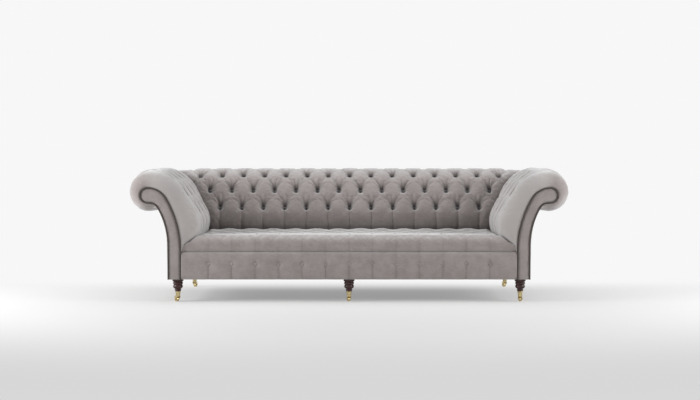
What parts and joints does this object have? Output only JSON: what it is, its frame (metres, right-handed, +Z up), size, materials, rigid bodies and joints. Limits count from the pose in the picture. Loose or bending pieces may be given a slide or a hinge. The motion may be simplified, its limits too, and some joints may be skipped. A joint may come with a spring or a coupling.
{
  "type": "chesterfield sofa",
  "caption": "Long chesterfield sofa with rolled arms and back, deep buttoned seat and back, piped scroll facings, and turned legs on brass swivel casters.",
  "frame": {"origin": "on the floor, under the middle of the sofa's bounding box", "axes": "+X to the right seen from the front, +Y from the front to the back, +Z up"},
  "size_m": [2.626, 0.9999, 0.774],
  "materials": {
    "upholstery": "soft grey-taupe velvet",
    "piping": "dark grey-brown cord",
    "frame_timber": "planed beech",
    "leg_wood": "dark polished mahogany",
    "caster_brass": "aged brass",
    "spring_steel": "bright wire",
    "hessian": "woven hessian",
    "dust_cloth": "black dust cloth"
  },
  "bodies": {
    "sofa": {"seat_pad": "upholstery", "back_pad": "upholstery", "left_arm_pad": "upholstery", "right_arm_pad": "upholstery", "front_border": "upholstery", "left_arm_facing": "upholstery", "right_arm_facing": "upholstery", "left_outside_arm": "upholstery", "right_outside_arm": "upholstery", "outside_back": "upholstery", "back_buttons": "upholstery", "arm_buttons": "upholstery", "seat_buttons": "upholstery", "border_buttons": "upholstery", "left_facing_piping": "piping", "right_facing_piping": "piping", "front_seat_rail": "frame_timber", "rear_seat_rail": "frame_timber", "side_seat_rails": "frame_timber", "seat_cross_rails": "frame_timber", "corner_blocks": "frame_timber", "arm_front_boards": "frame_timber", "arm_rear_boards": "frame_timber", "arm_top_rails": "frame_timber", "arm_stuffing_rails": "frame_timber", "back_uprights": "frame_timber", "back_top_rails": "frame_timber", "back_stuffing_rails": "frame_timber", "seat_springs": "spring_steel", "spring_clips": "spring_steel", "leg_hanger_bolts": "spring_steel", "arm_hessian": "hessian", "back_hessian": "hessian", "seat_deck_cloth": "hessian", "dust_cover": "dust_cloth", "caster_cups": "caster_brass", "front_left_leg": "leg_wood", "front_centre_leg": "leg_wood", "front_right_leg": "leg_wood", "rear_left_leg": "leg_wood", "rear_centre_leg": "leg_wood", "rear_right_leg": "leg_wood"},
    "front_left_caster": {"front_left_caster_fork": "caster_brass", "front_left_caster_axle": "caster_brass"},
    "front_left_roller": {"front_left_caster_wheel": "caster_brass"},
    "front_centre_caster": {"front_centre_caster_fork": "caster_brass", "front_centre_caster_axle": "caster_brass"},
    "front_centre_roller": {"front_centre_caster_wheel": "caster_brass"},
    "front_right_caster": {"front_right_caster_fork": "caster_brass", "front_right_caster_axle": "caster_brass"},
    "front_right_roller": {"front_right_caster_wheel": "caster_brass"},
    "rear_left_caster": {"rear_left_caster_fork": "caster_brass", "rear_left_caster_axle": "caster_brass"},
    "rear_left_roller": {"rear_left_caster_wheel": "caster_brass"},
    "rear_centre_caster": {"rear_centre_caster_fork": "caster_brass", "rear_centre_caster_axle": "caster_brass"},
    "rear_centre_roller": {"rear_centre_caster_wheel": "caster_brass"},
    "rear_right_caster": {"rear_right_caster_fork": "caster_brass", "rear_right_caster_axle": "caster_brass"},
    "rear_right_roller": {"rear_right_caster_wheel": "caster_brass"}
  },
  "joints": [
    {"name": "front_left_swivel", "type": "hinge", "parent": "sofa", "child": "front_left_caster", "pos_m": [-1.03, -0.4475, 0.036], "axis": [0, 0, 1], "continuous": true},
    {"name": "front_left_spin", "type": "hinge", "parent": "front_left_caster", "child": "front_left_roller", "pos_m": [-1.039, -0.43678, 0.015], "axis": [0.766, 0.6428, 0], "continuous": true},
    {"name": "front_centre_swivel", "type": "hinge", "parent": "sofa", "child": "front_centre_caster", "pos_m": [0, -0.4475, 0.036], "axis": [0, 0, 1], "continuous": true},
    {"name": "front_centre_spin", "type": "hinge", "parent": "front_centre_caster", "child": "front_centre_roller", "pos_m": [-0.00146, -0.43358, 0.015], "axis": [0.9945, 0.1045, 0], "continuous": true},
    {"name": "front_right_swivel", "type": "hinge", "parent": "sofa", "child": "front_right_caster", "pos_m": [1.03, -0.4475, 0.036], "axis": [0, 0, 1], "continuous": true},
    {"name": "front_right_spin", "type": "hinge", "parent": "front_right_caster", "child": "front_right_roller", "pos_m": [1.03362, -0.43398, 0.015], "axis": [0.9659, -0.2588, 0], "continuous": true},
    {"name": "rear_left_swivel", "type": "hinge", "parent": "sofa", "child": "rear_left_caster", "pos_m": [-1.03, 0.283, 0.036], "axis": [0, 0, 1], "continuous": true},
    {"name": "rear_left_spin", "type": "hinge", "parent": "rear_left_caster", "child": "rear_left_roller", "pos_m": [-1.02709, 0.29669, 0.015], "axis": [0.9781, -0.2079, 0], "continuous": true},
    {"name": "rear_centre_swivel", "type": "hinge", "parent": "sofa", "child": "rear_centre_caster", "pos_m": [0, 0.283, 0.036], "axis": [0, 0, 1], "continuous": true},
    {"name": "rear_centre_spin", "type": "hinge", "parent": "rear_centre_caster", "child": "rear_centre_roller", "pos_m": [-0.00219, 0.29683, 0.015], "axis": [0.9877, 0.1564, 0], "continuous": true},
    {"name": "rear_right_swivel", "type": "hinge", "parent": "sofa", "child": "rear_right_caster", "pos_m": [1.03, 0.283, 0.036], "axis": [0, 0, 1], "continuous": true},
    {"name": "rear_right_spin", "type": "hinge", "parent": "rear_right_caster", "child": "rear_right_roller", "pos_m": [1.02661, 0.29658, 0.015], "axis": [0.9703, 0.2419, 0], "continuous": true}
  ]
}
